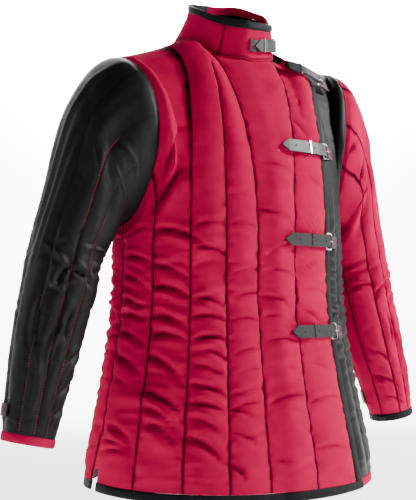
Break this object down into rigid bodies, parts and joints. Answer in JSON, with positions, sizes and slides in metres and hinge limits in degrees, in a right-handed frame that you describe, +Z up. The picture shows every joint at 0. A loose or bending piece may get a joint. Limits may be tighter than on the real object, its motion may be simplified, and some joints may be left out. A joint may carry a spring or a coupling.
{
  "type": "gambeson",
  "caption": "Quilted padded gambeson in two colours with a standing collar, long sleeves and a crossed-over front closed by buckled straps, in its worn shape.",
  "frame": {"origin": "the middle of the neck at the height of the shoulders' tops, where the wearer carries the garment", "axes": "+X to the wearer's left, -Y to the front, +Z up"},
  "size_m": [0.8168, 0.379, 0.8297],
  "materials": {
    "red_cotton": "satin",
    "black_cotton": "satin",
    "leather": "satin",
    "steel": "polished"
  },
  "bodies": {
    "root": {"back_left": "black_cotton", "back_right": "red_cotton", "binding_collar_left": "red_cotton", "binding_collar_right": "black_cotton", "binding_cuff_left": "black_cotton", "binding_cuff_right": "red_cotton", "binding_front_edge": "black_cotton", "binding_hem_back_left": "red_cotton", "binding_hem_back_right": "black_cotton", "binding_hem_front_left": "red_cotton", "binding_hem_front_right": "black_cotton", "collar_left": "black_cotton", "collar_right": "red_cotton", "front_left": "black_cotton", "front_right": "red_cotton", "sleeve_left_top": "red_cotton", "sleeve_left_under": "red_cotton", "sleeve_right_top": "black_cotton", "sleeve_right_under": "black_cotton", "strap_1_billet": "leather", "strap_1_chape": "leather", "strap_1_frame": "steel", "strap_1_keeper": "steel", "strap_1_pin": "steel", "strap_2_billet": "leather", "strap_2_chape": "leather", "strap_2_frame": "steel", "strap_2_keeper": "steel", "strap_2_pin": "steel", "strap_3_billet": "leather", "strap_3_chape": "leather", "strap_3_frame": "steel", "strap_3_keeper": "steel", "strap_3_pin": "steel", "strap_collar_billet": "leather", "strap_collar_chape": "leather", "strap_collar_frame": "steel", "strap_collar_keeper": "steel", "strap_collar_pin": "steel", "strap_cuff_left": "leather", "strap_cuff_right": "leather", "strap_shoulder_billet": "leather", "strap_shoulder_chape": "leather", "strap_shoulder_frame": "steel", "strap_shoulder_keeper": "steel", "strap_shoulder_pin": "steel"}
  },
  "joints": []
}
